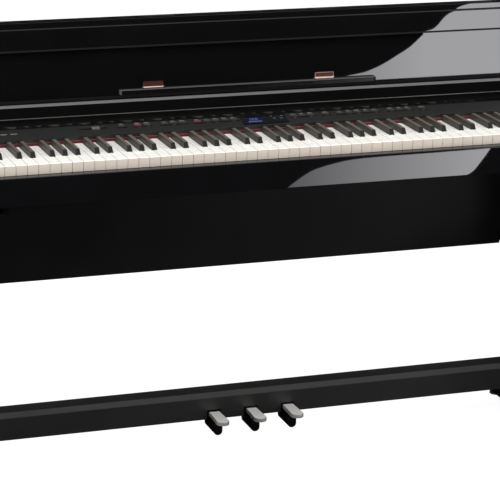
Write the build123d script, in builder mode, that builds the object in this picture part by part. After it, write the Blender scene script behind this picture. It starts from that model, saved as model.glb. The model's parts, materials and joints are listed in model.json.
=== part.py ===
from build123d import *

import os
from math import atan2, cos, degrees, radians, tan

os.makedirs("parts", exist_ok=True)

# ---------------------------------------------------------------- driving sizes, mm
# Axes: +X to the player's right, +Y to the back, +Z up.
# Origin: on the floor, in the middle of the width and of the depth.
width = 1400.0              # over both side boards
depth = 344.0               # front of the side boards to the back
key_height = 720.0          # floor to the tops of the white keys
side_board = 30.0           # thickness of a side board
board = 15.0                # thickness of the other boards
hinge_gap = 0.5             # between two hinged edges
running = 0.05              # radial clearance of a pin in its hole
slip = 0.3                  # clearance of a piece that slides or is let in

# keyboard
octave_pitch = 165.0        # seven white keys
end_block = 50.0            # least width of the block beyond each end of the keys
key_gap = 1.0               # between two white keys
white_rise = 21.0           # height of a white key's front
black_rise = 12.0           # black tops above the white ones
black_width = 11.0
black_top_width = 9.2
black_front = 53.0          # back from the white keys' fronts
black_slope = 7.0           # how far the front of a black key slopes back
key_visible = 148.0         # depth of the keys in front of the panel
key_length = 222.0
tail_drop = 8.0             # the keys' tails lie this far below their tops
key_round = 1.2
pivot_back = 215.0          # key pivot, back from the white keys' fronts
pivot_drop = 16.0           # key pivot, below the white keys' tops
pivot_radius = 2.5
pivot_web = 3.0
black_notch = 0.9           # clearance beside a black key
first_middle = 23           # number of white keys below the middle octave
middle_count = 7

# cabinet
cabinet_front = 23.0        # side boards in front of the white keys
cabinet_top = 58.0          # top of the cabinet above the white keys
rail_front = 20.0           # front rail in front of the white keys
rail_thick = 17.0
rail_height = 62.0
rail_round = 2.5
bed_top = 68.0              # key bed, below the white keys' tops
block_rise = 14.0
arm_bottom = 95.0           # underside of a side board's arm, below the white keys' tops
arm_rise = 16.0             # its top above them
shoulder_back = 119.0       # where the arm rises to the cabinet top, back from the key fronts
leg_front = 105.0
leg_back = 234.0
leg_back_top = 335.0        # below the white keys' tops; the full depth starts here
foot_height = 45.0
foot_front = 0.0
corner_round = 12.0
leg_round = 60.0
pad_radius = 15.0
pad_height = 8.0
pad_inset = 25.0
back_panel_bottom = 342.0   # below the white keys' tops

# control panel, behind the keys
panel_front = 151.5
panel_front_rise = 14.0
panel_back = 200.0
panel_back_rise = 27.0
panel_skin = 3.0
trough_rise = 10.0          # floor of the trough that the shelf board shuts into
skirt_drop = 4.0
felt_thick = 3.0
felt_top = 6.0

# lid
lid_face = 240.0            # front face of the raised lid
lid_foot = 43.0             # lid hinge above the white keys' tops
lid_rise = 202.0            # lid hinge to flap hinge, at the lid's top edge
lid_side_gap = 1.5
flap_length = 62.7          # flap folded down over the lid's face
flap_band = 49.2            # its thicker part
flap_step = 3.0
flap_fold = 135.0           # how far the flap unfolds as the lid shuts, degrees
flap_clear = 2.0            # key blocks below the shut flap
shelf_depth = 32.0
shelf_height = 24.9
hinge_length = 60.0
hinge_leaf = 1.2
hinge_leaf_width = 11.0
hinge_knuckle = 2.0
hinge_pin = 0.9
hinge_stations = (-560.0, -190.0, 190.0, 560.0)

# music ledge and page holders, on the lid
ledge_left = -278.6
ledge_right = 314.3
ledge_top = 88.3
ledge_thick = 9.5
ledge_depth = 11.0
ledge_round = 7.0
holder_width = 44.0
holder_height = 13.0
holder_thick = 1.6
holder_barrel = 2.0
holder_axle = 1.0
holder_axle_length = 2.5
holder_ear = 3.0
holder_places = (-202.6, 192.0)

# pedals
pedal_pitch = 87.0
pedal_rail_front = 130.0
pedal_rail_depth = 50.0
pedal_rail_top = 583.0      # below the white keys' tops
pedal_rail_height = 61.0
pedal_rail_wall = 12.0
pedal_rail_bevel = (8.0, 11.0)
pedal_notch_width = 32.0
pedal_notch_height = 22.0
pedal_tip = 56.0
pedal_top = 626.0           # below the white keys' tops
pedal_cap_thick = 8.0
pedal_cap_back = 128.0
pedal_cap_shoulder = 72.0
pedal_back_width = 25.0
pedal_front_width = 29.0
pedal_cap_round = 1.6
lever_width = 20.0
lever_height = 37.0
lever_front = 99.0
lever_back = 164.0
pedal_pivot = (156.0, 642.0)
pedal_pin_radius = 3.0
bracket_plate = 3.0
bracket_ear = 3.0
bracket_ear_gap = 2.0
bracket_side = 1.0          # clearance beside the plate

# ---------------------------------------------------------------- stations and levels
key_y = -depth / 2 + cabinet_front      # fronts of the white keys
key_z = key_height                      # tops of the white keys
back_y = depth / 2
inner = width / 2 - side_board          # inner face of a side board
pitch = octave_pitch / 7
white_count = int(2 * (inner - end_block) / pitch)
white_width = pitch - key_gap
keys_left = -white_count / 2 * pitch
bed_z = key_z - bed_top
rail_y = key_y - rail_front
rail_back_y = rail_y + rail_thick
rail_top_z = key_z - white_rise
rail_bottom_z = rail_top_z - rail_height
bed_bottom_z = bed_z - board
cabinet_top_z = key_z + cabinet_top
back_board_y = back_y - board
lid_y = key_y + lid_face
lid_z = key_z + lid_foot
lid_half = inner - lid_side_gap
flap_z = lid_z + lid_rise
flap_fall = tan(radians(180.0 - flap_fold))     # slope of the shut flap
nose_y = lid_y - lid_rise                       # flap hinge when the lid is shut
wall_y = lid_y + 2 * hinge_gap
pivot_y = key_y + pivot_back
pivot_z = key_z - pivot_drop
panel_y = key_y + panel_front
panel_z = key_z + panel_front_rise
trough_y = key_y + panel_back
panel_back_z = key_z + panel_back_rise
trough_z = key_z + trough_rise
panel_angle = degrees(atan2(panel_back_z - panel_z, trough_y - panel_y))
pedal_y, pedal_z = key_y + pedal_pivot[0], key_z - pedal_pivot[1]
ped_rail_y = key_y + pedal_rail_front
ped_rail_top_z = key_z - pedal_rail_top
ped_rail_bottom_z = ped_rail_top_z - pedal_rail_height


# ---------------------------------------------------------------- helpers
def save(piece, name):
    """Label a finished piece and write it as its own STEP file."""
    piece.part.label = name
    export_step(piece.part, f"parts/{name}.step")


def block(x, y, z):
    """Add a box between the pairs of limits x, y and z to the part being built."""
    middle = ((x[0] + x[1]) / 2, (y[0] + y[1]) / 2, (z[0] + z[1]) / 2)
    with Locations(middle):
        Box(x[1] - x[0], y[1] - y[0], z[1] - z[0])


def cut_block(x, y, z):
    """Take the box between the pairs of limits x, y and z out of the part being built."""
    middle = ((x[0] + x[1]) / 2, (y[0] + y[1]) / 2, (z[0] + z[1]) / 2)
    with Locations(middle):
        Box(x[1] - x[0], y[1] - y[0], z[1] - z[0], mode=Mode.SUBTRACT)


def profile(points, x0, x1, mode=Mode.ADD):
    """Extrude a closed outline of (y, z) points from x0 to x1."""
    with BuildSketch(Plane.YZ.offset(x0)) as section:
        with BuildLine():
            Polyline(*points, close=True)
        make_face()
    extrude(section.sketch, amount=x1 - x0, mode=mode)


def rod(x0, x1, y, z, radius, mode=Mode.ADD):
    """A round rod along x."""
    with BuildSketch(Plane.YZ.offset(x0)) as section:
        with Locations((y, z)):
            Circle(radius)
    extrude(section.sketch, amount=x1 - x0, mode=mode)


def corner(sketch, y, z):
    """The corner of a sketch that is nearest to (y, z)."""
    return sketch.vertices().sort_by_distance((y, z, 0))[0]


# ---------------------------------------------------------------- side boards and feet
front_y = key_y - cabinet_front
arm_bottom_z = key_z - arm_bottom
arm_top_z = key_z + arm_rise
shoulder_y = key_y + shoulder_back
shoulder_top_y = shoulder_y + cabinet_top_z - arm_top_z
leg_y = key_y + leg_front
leg_back_y = key_y + leg_back
leg_back_z = key_z - leg_back_top
foot_y = key_y + foot_front
foot_z = pad_height + foot_height

for name, x in (("side_board_left", -width / 2), ("side_board_right", inner)):
    with BuildPart() as side:
        with BuildSketch(Plane.YZ.offset(x)) as outline:
            with BuildLine():
                Polyline(
                    (front_y, arm_bottom_z), (front_y, arm_top_z), (shoulder_y, arm_top_z),
                    (shoulder_top_y, cabinet_top_z), (back_y, cabinet_top_z),
                    (back_y, leg_back_z), (leg_back_y, leg_back_z), (leg_back_y, foot_z),
                    (back_y, foot_z), (back_y, pad_height), (foot_y, pad_height),
                    (foot_y, foot_z), (leg_y, foot_z), (leg_y, arm_bottom_z), close=True,
                )
            make_face()
            for y, z, radius in (
                (front_y, arm_top_z, corner_round), (shoulder_y, arm_top_z, corner_round),
                (shoulder_top_y, cabinet_top_z, corner_round),
                (back_y, leg_back_z, corner_round), (back_y, foot_z, corner_round),
                (foot_y, foot_z, corner_round), (front_y, arm_bottom_z, corner_round),
                (leg_back_y, leg_back_z, leg_round), (leg_back_y, foot_z, leg_round),
                (leg_y, arm_bottom_z, leg_round), (leg_y, foot_z, leg_round),
            ):
                fillet(corner(outline, y, z), radius)
        extrude(amount=side_board)
    save(side, name)

with BuildPart() as foot_pads:
    for side in (-1, 1):
        for y in (foot_y + pad_inset, back_y - pad_inset):
            with Locations((side * (width - side_board) / 2, y, pad_height / 2)):
                Cylinder(pad_radius, pad_height)
save(foot_pads, "foot_pads")

# ---------------------------------------------------------------- cabinet boards
speaker_side = 240.0        # from the side board
speaker_places = (speaker_side - inner, inner - speaker_side)
speaker_y = (wall_y + board + back_board_y) / 2
speaker_length = 110.0
speaker_width = 46.0
speaker_rim = 4.0
basket_height = 20.0
basket_taper = 20.0
magnet_radius = 15.0
magnet_height = 12.0

with BuildPart() as key_bed:
    block((-inner, inner), (rail_back_y, back_board_y), (bed_bottom_z, bed_z))
    with BuildSketch(Plane.XY.offset(bed_bottom_z)):
        with Locations(*[(x, speaker_y) for x in speaker_places]):
            SlotOverall(speaker_length - 2 * speaker_rim, speaker_width - 2 * speaker_rim)
    extrude(amount=board, mode=Mode.SUBTRACT)
save(key_bed, "key_bed")

with BuildPart() as front_rail:
    block((-inner, inner), (rail_y, rail_back_y), (rail_bottom_z, rail_top_z))
    long_edges = front_rail.edges().filter_by(Axis.X)
    fillet(long_edges.group_by(Axis.Y)[0], rail_round)
save(front_rail, "front_rail")

block_x = -keys_left + key_gap
with BuildPart() as key_blocks:
    block_z = key_z + block_rise
    slope_y = nose_y - (lid_z - block_z) / flap_fall + 1.5 * flap_clear
    block_front_z = block_z - flap_fall * (slope_y - rail_back_y)
    outline = (
        (rail_back_y, bed_z), (rail_back_y, block_front_z), (slope_y, block_z),
        (panel_y - slip, block_z), (panel_y - slip, bed_z),
    )
    for x in ((-inner, -block_x), (block_x, inner)):
        profile(outline, *x)
save(key_blocks, "key_blocks")

with BuildPart() as back_panel:
    y0 = back_board_y - board
    block((-inner, inner), (y0, back_board_y), (key_z - back_panel_bottom, bed_bottom_z))
save(back_panel, "back_panel")

inlet_side = 110.0          # from the side board
inlet_x = inlet_side - inner
inlet_width = 28.0
inlet_height = 20.0
inlet_z = bed_z + 30.0
with BuildPart() as cabinet_back:
    block((-inner, inner), (back_board_y, back_y), (bed_bottom_z, cabinet_top_z - board))
    cut_block((inlet_x - inlet_width / 2, inlet_x + inlet_width / 2), (back_board_y, back_y),
              (inlet_z - inlet_height / 2, inlet_z + inlet_height / 2))
save(cabinet_back, "cabinet_back")

with BuildPart() as rear_top_board:
    block((-inner, inner), (wall_y + board, back_y), (cabinet_top_z - board, cabinet_top_z))
save(rear_top_board, "rear_top_board")

# ---------------------------------------------------------------- keyboard
letters = "ABCDEFG"
black_shift = {"C": -1 / 10, "D": 1 / 10, "F": -1 / 7, "G": 0.0, "A": 1 / 7}
tail_z = key_z - tail_drop
key_bottom_z = key_z - white_rise
black_front_y = key_y + black_front
visible_y = key_y + key_visible
key_end_y = key_y + key_length


def letter(index):
    """Letter of a white key, counted from the left."""
    return letters[index % 7]


def black_x(index):
    """Middle of the black key on the right of a white key."""
    return keys_left + (index + 1 + black_shift[letter(index)]) * pitch


def has_black(index):
    """Whether a black key stands on the right of a white key."""
    return letter(index) in black_shift and 0 <= index < white_count - 1


def pivot_slots():
    """Cut the open slots by which the keys sit on the pivot ridge."""
    reach = (keys_left - pitch, -keys_left + pitch)
    rod(*reach, pivot_y, pivot_z, pivot_radius + running, Mode.SUBTRACT)
    half = pivot_radius + running
    cut_block(reach, (pivot_y - half, pivot_y + half), (pivot_z - white_rise, pivot_z))


def white_keys(indices):
    """White keys with their notches beside the black ones, as one part."""
    with BuildPart() as keys:
        with BuildSketch(Plane.XY.offset(key_bottom_z)):
            for i in indices:
                x = keys_left + (i + 0.5) * pitch
                with Locations((x, (key_y + key_end_y) / 2)):
                    Rectangle(white_width, key_length)
            for i in range(indices[0] - 1, indices[-1] + 1):
                if has_black(i):
                    y0 = black_front_y - black_notch
                    with Locations((black_x(i), (y0 + key_end_y) / 2)):
                        Rectangle(black_width + 2 * black_notch, key_end_y - y0,
                                  mode=Mode.SUBTRACT)
        extrude(amount=key_z - key_bottom_z)
        reach = (keys_left - pitch, -keys_left + pitch)
        cut_block(reach, (visible_y, key_end_y), (tail_z, key_z))
        pivot_slots()
        front = keys.faces().filter_by(Axis.Y).group_by(Axis.Y)[0]
        fillet(front.edges().filter_by(Axis.X).group_by(Axis.Z)[-1], key_round)
    return keys


def black_keys(indices):
    """Tapered black keys on narrower shanks, as one part."""
    shank = black_top_width
    top_y = black_front_y + black_slope
    with BuildPart() as keys:
        for i in indices:
            x = black_x(i)
            with BuildSketch(Plane.XY.offset(key_z)):
                with Locations((x, (black_front_y + visible_y) / 2)):
                    Rectangle(black_width, visible_y - black_front_y)
            with BuildSketch(Plane.XY.offset(key_z + black_rise)):
                with Locations((x, (top_y + visible_y) / 2)):
                    Rectangle(black_top_width, visible_y - top_y)
            loft()
            block((x - shank / 2, x + shank / 2), (black_front_y, visible_y),
                  (key_bottom_z, key_z))
            block((x - shank / 2, x + shank / 2), (visible_y, key_end_y),
                  (key_bottom_z, tail_z))
        top = keys.faces().filter_by(Axis.Z).group_by(Axis.Z)[-1]
        fillet(top.edges().filter_by(Axis.Y), key_round)
        pivot_slots()
    return keys


middle = range(first_middle, first_middle + middle_count)
lower = range(0, first_middle)
upper = range(first_middle + middle_count, white_count)

for side, indices in (("low", lower), ("high", upper)):
    save(white_keys(indices), f"white_keys_{side}")
    save(black_keys([i for i in indices if has_black(i)]), f"black_keys_{side}")

for i in middle:
    save(white_keys([i]), f"key_{letter(i).lower()}4")
    if has_black(i):
        save(black_keys([i]), f"key_{letter(i).lower()}4_sharp")

# chassis: a ribbed tray whose rounded ridge carries all the keys
chassis_front_y = key_y + 8.0
chassis_back_y = key_y + 232.0
chassis_floor = 4.0
chassis_wall = 3.0
stop_depth = 18.0
stop_drop = 36.0
stop_felt = 3.0
stop_z = key_z - stop_drop
rib_pitch = octave_pitch
chassis_x = -keys_left
with BuildPart() as key_chassis:
    block((-chassis_x, chassis_x), (chassis_front_y, chassis_back_y), (bed_z, bed_z + chassis_floor))
    profile(
        ((chassis_front_y, bed_z), (chassis_front_y, stop_z), (chassis_front_y + stop_depth, stop_z),
         (chassis_front_y + stop_depth, stop_z - chassis_wall),
         (chassis_front_y + chassis_wall, stop_z - chassis_wall),
         (chassis_front_y + chassis_wall, bed_z)),
        -chassis_x, chassis_x,
    )
    block((-chassis_x, chassis_x), (pivot_y - pivot_web / 2, pivot_y + pivot_web / 2),
          (bed_z, pivot_z))
    rod(-chassis_x, chassis_x, pivot_y, pivot_z, pivot_radius)
    rib_count = int(2 * chassis_x // rib_pitch)
    for n in range(rib_count + 1):
        x = (n - rib_count / 2) * rib_pitch
        profile(
            ((chassis_front_y, bed_z), (chassis_front_y, stop_z - chassis_wall),
             (chassis_front_y + stop_depth, stop_z - chassis_wall),
             (chassis_front_y + 2 * stop_depth, bed_z + 2 * chassis_floor),
             (pivot_y - stop_depth, bed_z + 2 * chassis_floor),
             (pivot_y, key_z - white_rise - 2 * chassis_wall), (pivot_y, bed_z)),
            x - chassis_wall / 2, x + chassis_wall / 2,
        )
save(key_chassis, "key_chassis")

with BuildPart() as key_felts:
    block((-chassis_x, chassis_x), (chassis_front_y, chassis_front_y + stop_depth),
          (stop_z, stop_z + stop_felt))
    block((-chassis_x, chassis_x), (panel_y - felt_thick, panel_y),
          (key_z - skirt_drop, key_z + felt_top))
save(key_felts, "key_felts")

# ---------------------------------------------------------------- hinges of the lid and its flap
# Each hinge is a butt hinge let into two edges that meet at its axis.
knuckle_clear = hinge_knuckle + slip


def hinge_pockets(y, z, edge, facing, reach):
    """Cut the clearance for the knuckles, and the pocket of one leaf, at every station.

    edge is the level of the edge that the leaf is let into, and facing is 1 if that
    edge faces up and -1 if it faces down. The leaf lies behind the axis if reach is 1
    and in front of it if reach is -1.
    """
    span_y, span_z = leaf_span(y, edge, facing, reach, hinge_leaf_width + slip)
    for x in hinge_stations:
        ends = (x - hinge_length / 2 - slip, x + hinge_length / 2 + slip)
        rod(*ends, y, z, knuckle_clear, Mode.SUBTRACT)
        cut_block(ends, span_y, span_z)


def leaf_span(y, edge, facing, reach, length):
    """Limits in y and z of a leaf, or of its pocket, of the given length."""
    span_y = (y, y + length) if reach > 0 else (y - length, y)
    span_z = (edge - hinge_leaf, edge) if facing > 0 else (edge, edge + hinge_leaf)
    return span_y, span_z


def hinge_half(y, z, edge, facing, reach, fixed):
    """One half of every hinge: a leaf with its knuckles, and the pin on the fixed half."""
    third = hinge_length / 3
    leaf = leaf_span(y, edge, facing, reach, hinge_leaf_width)
    clear = leaf_span(y, edge, facing, reach, knuckle_clear)
    with BuildPart() as half:
        for x in hinge_stations:
            ends = (x - hinge_length / 2, x + hinge_length / 2)
            own = ((ends[0], ends[0] + third), (ends[1] - third, ends[1]))
            other = (ends[0] + third, ends[1] - third)
            if not fixed:
                own, other = ((other[0] + slip, other[1] - slip),), None
            block(ends, *leaf)
            if fixed:
                cut_block((other[0], other[1]), *clear)
            else:
                cut_block((ends[0], ends[0] + third + slip), *clear)
                cut_block((ends[1] - third - slip, ends[1]), *clear)
            for x0, x1 in own:
                rod(x0, x1, y, z, hinge_knuckle)
            if fixed:
                rod(*ends, y, z, hinge_pin)
            else:
                rod(*ends, y, z, hinge_pin + running, Mode.SUBTRACT)
    return half


# ---------------------------------------------------------------- lid
wall_z = lid_z - hinge_gap
with BuildPart() as hinge_wall:
    block((-inner, inner), (wall_y, wall_y + board), (bed_z, wall_z))
    hinge_pockets(lid_y, lid_z, wall_z, 1, 1)
save(hinge_wall, "hinge_wall")

with BuildPart() as lid_panel:
    block((-lid_half, lid_half), (lid_y, lid_y + board), (lid_z, flap_z))
    hinge_pockets(lid_y, lid_z, lid_z, -1, 1)
    hinge_pockets(lid_y, flap_z, flap_z, 1, 1)
save(lid_panel, "lid_panel")

with BuildPart() as lid_shelf:
    block((-lid_half, lid_half), (lid_y - shelf_depth, lid_y), (lid_z, lid_z + shelf_height))
    front_edges = lid_shelf.edges().filter_by(Axis.X).group_by(Axis.Y)[0]
    fillet(front_edges, key_round)
    for x in hinge_stations:
        ends = (x - hinge_length / 2 - slip, x + hinge_length / 2 + slip)
        rod(*ends, lid_y, lid_z, knuckle_clear, Mode.SUBTRACT)
save(lid_shelf, "lid_shelf")

flap_back_y = lid_y - slip
flap_front_y = lid_y - board
with BuildPart() as lid_flap:
    flap_low_z = flap_z - flap_length
    step_z = flap_low_z + flap_band
    step_y = flap_front_y + flap_step
    profile(
        ((flap_front_y, flap_low_z), (flap_front_y, step_z), (step_y, step_z), (step_y, flap_z),
         (flap_back_y, flap_z), (flap_back_y, flap_low_z)),
        -lid_half, lid_half,
    )
    long_edges = lid_flap.edges().filter_by(Axis.X).group_by(Axis.Y)[0]
    fillet(long_edges, rail_round)
    hinge_pockets(lid_y, flap_z, flap_z, 1, -1)
save(lid_flap, "lid_flap")

save(hinge_half(lid_y, lid_z, wall_z, 1, 1, True), "lid_hinge_fixed")
save(hinge_half(lid_y, lid_z, lid_z, -1, 1, False), "lid_hinge_moving")
save(hinge_half(lid_y, flap_z, flap_z, 1, 1, True), "flap_hinge_fixed")
save(hinge_half(lid_y, flap_z, flap_z, 1, -1, False), "flap_hinge_moving")

# ---------------------------------------------------------------- music ledge and page holders
ledge_z = key_z + ledge_top
ledge_y = lid_y - ledge_depth
holder_y = lid_y - holder_barrel - slip
holder_z = ledge_z + holder_barrel + slip
ear_gap = slip / 2
with BuildPart() as music_ledge:
    block((ledge_left, ledge_right), (ledge_y, lid_y), (ledge_z - ledge_thick, ledge_z))
    ends = music_ledge.edges().filter_by(Axis.Z).group_by(Axis.Y)[0]
    fillet(ends, ledge_round)
    fillet(music_ledge.faces().filter_by(Axis.Z).group_by(Axis.Z)[-1].edges()
           .filter_by(Axis.X).group_by(Axis.Y)[0], key_round)
    for place in holder_places:
        for side in (-1, 1):
            x = place + side * (holder_width / 2 + ear_gap + holder_ear / 2)
            x0, x1 = x - holder_ear / 2, x + holder_ear / 2
            block((x0, x1), (holder_y - holder_barrel, lid_y), (ledge_z, holder_z))
            rod(x0, x1, holder_y, holder_z, holder_barrel)
        reach = holder_width / 2 + ear_gap + holder_ear
        rod(place - reach, place + reach, holder_y, holder_z, holder_axle + running,
            Mode.SUBTRACT)
save(music_ledge, "music_ledge")

for name, x in zip(("page_holder_left", "page_holder_right"), holder_places):
    with BuildPart() as holder:
        half = holder_width / 2
        rod(x - half, x + half, holder_y, holder_z, holder_barrel)
        reach = half + ear_gap + holder_axle_length
        rod(x - reach, x + reach, holder_y, holder_z, holder_axle)
        plate_y = (holder_y - holder_thick / 2, holder_y + holder_thick / 2)
        with BuildSketch(Plane.XZ.offset(-plate_y[1])) as plate:
            with Locations((x, holder_z + holder_height / 2)):
                Rectangle(holder_width, holder_height)
            fillet(plate.vertices().group_by(Axis.Y)[-1], holder_barrel)
        extrude(amount=holder_thick)
    save(holder, name)

# ---------------------------------------------------------------- control panel
# The face slopes up from the keys; the buttons lie on its middle line.
face_length = ((trough_y - panel_y) ** 2 + (panel_back_z - panel_z) ** 2) ** 0.5
face = Plane(
    origin=(0, (panel_y + trough_y) / 2, (panel_z + panel_back_z) / 2),
    x_dir=(1, 0, 0),
    z_dir=Vector(0, 0, 1).rotate(Axis.X, panel_angle),
)
button_row = 8.0            # up the slope from the face's middle
button_length = 15.0
button_width = 7.0
button_rise = 1.2
button_travel = 0.8
button_flange = 1.5
button_corner = 0.8
flange_rim = 1.0
slider_slot = (-374.0, -332.0)
slider_place = -348.0
slider_width = 17.0
slider_depth = 9.0
slider_rise = 3.0
slider_stem = 3.0
slider_row = 3.0
display_left = -23.0
display_right = 83.0
display_width = 43.0
display_glass = 2.0
lcd_left = -12.0
lcd_right = 30.0
lcd_depth = 24.0
lcd_thick = 3.0
small_button = 7.0

power_place = (-289.5,)
lit_places = (-254.0, -119.5)
left_places = (-233.0, -194.0, -174.0, -153.5, -98.0, -78.0, -58.0, -38.0)
display_places = (54.0, 70.0)
right_places = (101.0, 121.0, 141.0, 176.0, 210.0, 231.0, 251.0, 272.0, 292.0,
                331.0, 352.0, 372.0, 406.0)
panel_places = power_place + lit_places + left_places + right_places


def button_holes(places, row, length, width, cut_depth):
    """Cut the openings of a row of buttons, which stand clear of them all round."""
    with BuildSketch(face) as holes:
        with Locations(*[(x, row) for x in places]):
            RectangleRounded(length + 2 * slip, width + 2 * slip, button_corner + slip)
    extrude(holes.sketch, amount=-cut_depth, mode=Mode.SUBTRACT)


def buttons(places, row, length, width, sheet):
    """Key caps with a flange below the sheet that keeps them in."""
    with BuildPart() as caps:
        with BuildSketch(face.offset(button_rise)) as tops:
            with Locations(*[(x, row) for x in places]):
                RectangleRounded(length, width, button_corner)
        extrude(tops.sketch, amount=-(button_rise + sheet + slip))
        with BuildSketch(face.offset(-sheet - slip)) as flanges:
            with Locations(*[(x, row) for x in places]):
                Rectangle(length + 2 * flange_rim, width + 2 * flange_rim)
        extrude(flanges.sketch, amount=-button_flange)
    return caps


with BuildPart() as control_panel:
    skin = panel_skin
    fall = skin * tan(radians(panel_angle))
    under = skin / cos(radians(panel_angle))
    profile(
        ((panel_y, key_z - skirt_drop), (panel_y, panel_z), (trough_y, panel_back_z),
         (trough_y, trough_z), (wall_y, trough_z), (wall_y, trough_z - skin),
         (trough_y - skin, trough_z - skin), (trough_y - skin, panel_back_z - fall - under),
         (panel_y + skin, panel_z + fall - under), (panel_y + skin, key_z - skirt_drop)),
        -inner, inner,
    )
    button_holes(panel_places, button_row, button_length, button_width, 2 * skin)
    with BuildSketch(face) as slots:
        middle_x = (slider_slot[0] + slider_slot[1]) / 2
        with Locations((middle_x, slider_row)):
            RectangleRounded(slider_slot[1] - slider_slot[0], slider_stem + 2 * slip, button_corner)
        with Locations(((display_left + display_right) / 2, 0)):
            Rectangle(display_right - display_left, display_width)
    extrude(slots.sketch, amount=-2 * skin, mode=Mode.SUBTRACT)
save(control_panel, "control_panel")

with BuildPart() as display_window:
    with BuildSketch(face) as glass:
        with Locations(((display_left + display_right) / 2, 0)):
            Rectangle(display_right - display_left, display_width)
    extrude(glass.sketch, amount=-display_glass)
    button_holes(display_places, 0, small_button, small_button, 2 * display_glass)
save(display_window, "display_window")

with BuildPart() as display_lcd:
    with BuildSketch(face.offset(-display_glass)) as lcd:
        with Locations(((lcd_left + lcd_right) / 2, 0)):
            Rectangle(lcd_right - lcd_left, lcd_depth)
    extrude(lcd.sketch, amount=-lcd_thick)
save(display_lcd, "display_lcd")

with BuildPart() as volume_slider:
    with BuildSketch(face.offset(slider_rise)) as cap:
        with Locations((slider_place, slider_row)):
            RectangleRounded(slider_width, slider_depth, button_corner)
    extrude(cap.sketch, amount=-(slider_rise - slip), taper=-8)
    with BuildSketch(face.offset(slip)) as stem:
        with Locations((slider_place, slider_row)):
            Rectangle(slider_stem, slider_stem)
    extrude(stem.sketch, amount=-(2 * slip + panel_skin))
    with BuildSketch(face.offset(-panel_skin - slip)) as foot:
        with Locations((slider_place, slider_row)):
            Rectangle(2 * slider_stem, 3 * slider_stem)
    extrude(foot.sketch, amount=-button_flange)
save(volume_slider, "volume_slider")

big = (button_row, button_length, button_width, panel_skin)
save(buttons(power_place, *big), "power_button")
save(buttons(lit_places, *big), "lit_buttons")
save(buttons(left_places, *big), "left_buttons")
save(buttons(right_places, *big), "right_buttons")
save(buttons(display_places, 0, small_button, small_button, display_glass), "display_buttons")

# ---------------------------------------------------------------- electrics
panel_board_gap = panel_skin + button_flange + button_travel + 2 * slip
circuit_thick = 1.6
with BuildPart() as circuit_boards:
    with BuildSketch(face.offset(-panel_board_gap)) as strip:
        with Locations((0, button_row)):
            Rectangle(2 * inner, 2 * button_width)
    extrude(strip.sketch, amount=-circuit_thick)
save(circuit_boards, "circuit_boards")

with BuildPart() as speakers:
    rim_z = bed_z + speaker_rim / 2
    for x in speaker_places:
        with BuildSketch(Plane.XY.offset(bed_z)) as rim:
            with Locations((x, speaker_y)):
                SlotOverall(speaker_length, speaker_width)
        extrude(rim.sketch, amount=rim_z - bed_z)
        with BuildSketch(Plane.XY.offset(rim_z)) as basket:
            with Locations((x, speaker_y)):
                SlotOverall(speaker_length - 3 * speaker_rim, speaker_width - 2 * speaker_rim)
        extrude(basket.sketch, amount=basket_height, taper=basket_taper)
        with Locations((x, speaker_y, rim_z + basket_height + magnet_height / 3)):
            Cylinder(magnet_radius, magnet_height)
save(speakers, "speakers")

inlet_set_back = 1.0        # behind the back board's outer face
inlet_wall = 4.0
inlet_pin_radius = 1.2
inlet_pin_length = 10.0
inlet_pin_half = 4.3        # half the pitch of the two pins
with BuildPart() as power_inlet:
    x = (inlet_x - inlet_width / 2, inlet_x + inlet_width / 2)
    z = (inlet_z - inlet_height / 2, inlet_z + inlet_height / 2)
    block(x, (back_board_y - board, back_y - inlet_set_back), z)
    cut_block((x[0] + inlet_wall, x[1] - inlet_wall), (back_board_y, back_y),
              (z[0] + inlet_wall, z[1] - inlet_wall))
    for side in (-1, 1):
        with Locations((inlet_x + side * inlet_pin_half, back_board_y + inlet_pin_length / 2,
                        inlet_z)):
            Cylinder(inlet_pin_radius, inlet_pin_length, rotation=(90, 0, 0))
save(power_inlet, "power_inlet")

jack_radius = 3.3
jack_depth = 30.0
jack_places = [x - inner for x in (48.0, 72.0)]     # so far from the side board's inner face
# limits from the side board and back from the key fronts, and height
phone_box = ((30.0, 90.0), (0.0, 70.0), 18.0)
with BuildPart() as headphone_box:
    box_x, box_y, box_height = phone_box
    box_x = [x - inner for x in box_x]
    block(box_x, (key_y + box_y[0], key_y + box_y[1]), (bed_bottom_z - box_height, bed_bottom_z))
    fillet(headphone_box.edges().filter_by(Axis.Y).group_by(Axis.Z)[0], pivot_radius)
    for x in jack_places:
        with Locations((x, key_y + box_y[0] + jack_depth / 2, bed_bottom_z - box_height / 2)):
            Cylinder(jack_radius, jack_depth, rotation=(90, 0, 0), mode=Mode.SUBTRACT)
save(headphone_box, "headphone_box")

# ---------------------------------------------------------------- pedals
pedal_places = (-pedal_pitch, 0.0, pedal_pitch)
ped_rail_back_y = ped_rail_y + pedal_rail_depth
wall = pedal_rail_wall
with BuildPart() as pedal_rail:
    bevel_y, bevel_z = pedal_rail_bevel
    profile(
        ((ped_rail_y, ped_rail_bottom_z), (ped_rail_y, ped_rail_top_z - bevel_z),
         (ped_rail_y + bevel_y, ped_rail_top_z), (ped_rail_back_y, ped_rail_top_z),
         (ped_rail_back_y, ped_rail_bottom_z), (ped_rail_back_y - wall, ped_rail_bottom_z),
         (ped_rail_back_y - wall, ped_rail_top_z - wall), (ped_rail_y + wall, ped_rail_top_z - wall),
         (ped_rail_y + wall, ped_rail_bottom_z)),
        -inner, inner,
    )
    for x in pedal_places:
        half = pedal_notch_width / 2
        cut_block((x - half, x + half), (ped_rail_y, ped_rail_y + wall),
                  (ped_rail_bottom_z, ped_rail_bottom_z + pedal_notch_height))
save(pedal_rail, "pedal_rail")

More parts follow.
